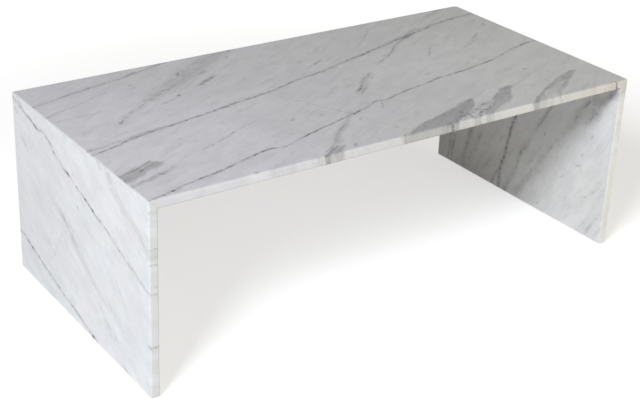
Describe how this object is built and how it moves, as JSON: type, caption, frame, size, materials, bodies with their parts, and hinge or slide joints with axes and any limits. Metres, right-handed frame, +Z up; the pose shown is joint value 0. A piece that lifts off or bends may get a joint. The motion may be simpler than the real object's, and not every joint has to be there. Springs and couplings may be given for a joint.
{
  "type": "coffee table",
  "caption": "Low rectangular waterfall coffee table of grey-veined white marble: a thin top mitred into full-depth slab legs.",
  "frame": {"origin": "on the floor, under the middle of the top", "axes": "+X along the length, towards the leg at the right of the picture; +Y from the front long edge to the back one; +Z up"},
  "size_m": [1.22, 0.6, 0.42],
  "materials": {
    "white_marble": "polished white marble with soft grey veins",
    "joint_resin": "cured epoxy tinted to the stone",
    "stainless_steel": "plain drawn stainless steel",
    "pad_felt": "dense pressed felt"
  },
  "bodies": {
    "root": {"back_groove_resin": "joint_resin", "back_stiffening_bar": "stainless_steel", "front_groove_resin": "joint_resin", "front_stiffening_bar": "stainless_steel", "left_glide_pad_back": "pad_felt", "left_glide_pad_front": "pad_felt", "left_glide_pad_middle": "pad_felt", "left_joint_pin_1": "stainless_steel", "left_joint_pin_2": "stainless_steel", "left_joint_pin_3": "stainless_steel", "left_joint_pin_4": "stainless_steel", "left_joint_resin": "joint_resin", "left_leg_slab": "white_marble", "right_glide_pad_back": "pad_felt", "right_glide_pad_front": "pad_felt", "right_glide_pad_middle": "pad_felt", "right_joint_pin_1": "stainless_steel", "right_joint_pin_2": "stainless_steel", "right_joint_pin_3": "stainless_steel", "right_joint_pin_4": "stainless_steel", "right_joint_resin": "joint_resin", "right_leg_slab": "white_marble", "tabletop_slab": "white_marble"}
  },
  "joints": []
}
